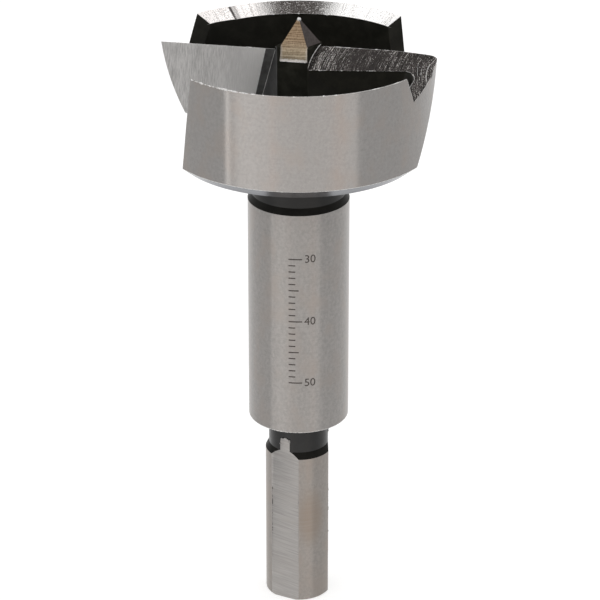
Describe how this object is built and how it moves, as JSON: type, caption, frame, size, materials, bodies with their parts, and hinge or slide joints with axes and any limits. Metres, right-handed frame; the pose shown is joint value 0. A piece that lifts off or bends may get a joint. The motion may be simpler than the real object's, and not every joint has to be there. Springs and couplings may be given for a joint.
{
  "type": "forstner bit",
  "caption": "Forstner drill bit with a round rimmed head, raked cutting lips beside open chip windows, a pyramid centre spike, and a stepped shank with flats for a drill chuck.",
  "frame": {"origin": "centre of the shank's end face, on the axis", "axes": "+Z along the axis from the shank to the spike; X along the two cutting edges; the lip on the +X side cuts towards +Y"},
  "size_m": [0.04, 0.04, 0.093],
  "materials": {
    "tool_steel": "ground and satin bright, with black oxide left in the pockets, necks and hub"
  },
  "bodies": {
    "root": {"forstner_bit": "tool_steel"}
  },
  "joints": []
}
